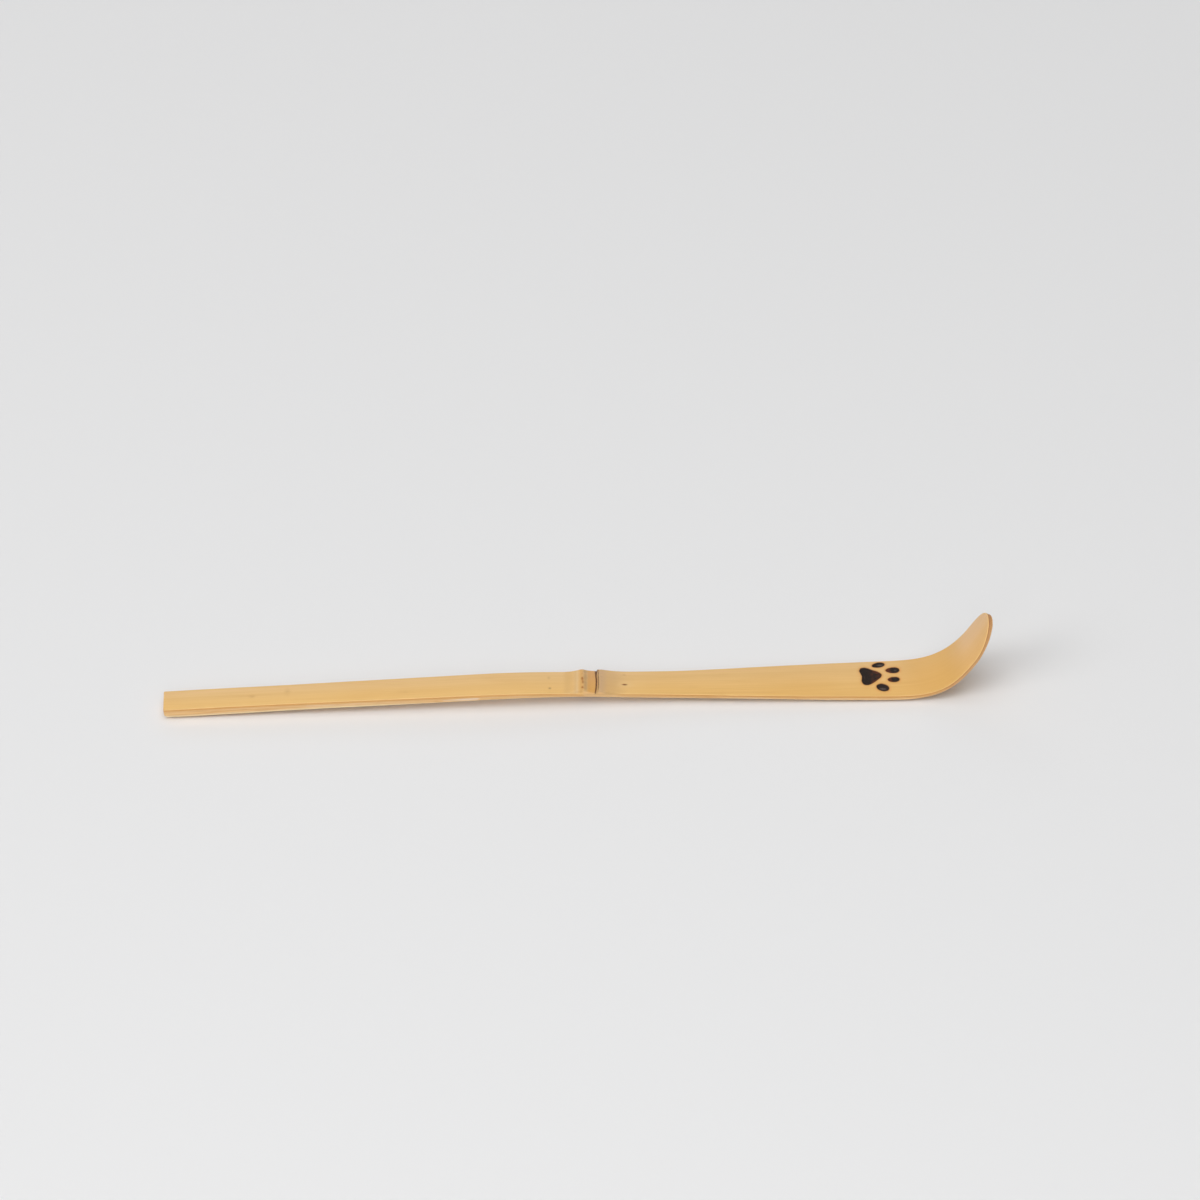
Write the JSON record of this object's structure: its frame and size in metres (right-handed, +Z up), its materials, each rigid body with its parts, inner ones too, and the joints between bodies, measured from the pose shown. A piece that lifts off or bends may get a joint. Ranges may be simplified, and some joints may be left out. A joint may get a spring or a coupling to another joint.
{
  "type": "tea scoop",
  "caption": "Slim bamboo scoop for powdered tea: a flat handle with a raised cane joint at mid length, a widening blade with a burnt-in paw mark and an upturned rounded tip.",
  "frame": {"origin": "on the table plane, under the middle of the scoop's bounding box", "axes": "+X along the strip from the tail to the upturned tip, +Y across the strip, +Z up out of the skin side, with the scoop resting on its underside"},
  "size_m": [0.1786, 0.011, 0.0197],
  "materials": {
    "flesh": "knife-cut, fibrous",
    "rind": "smooth satin skin of bleached and aged bamboo",
    "node": "satin, rust flecks on the crest",
    "scar": "rough, dark",
    "char": "charred, faint sheen"
  },
  "bodies": {
    "root": {"bamboo_flesh": "flesh", "handle_rind": "rind", "nodal_ridge": "node", "sheath_scar": "scar", "blade_rind": "rind", "char_pad": "char", "char_toe_far_outer": "char", "char_toe_far_inner": "char", "char_toe_near_inner": "char", "char_toe_near_outer": "char"}
  },
  "joints": []
}
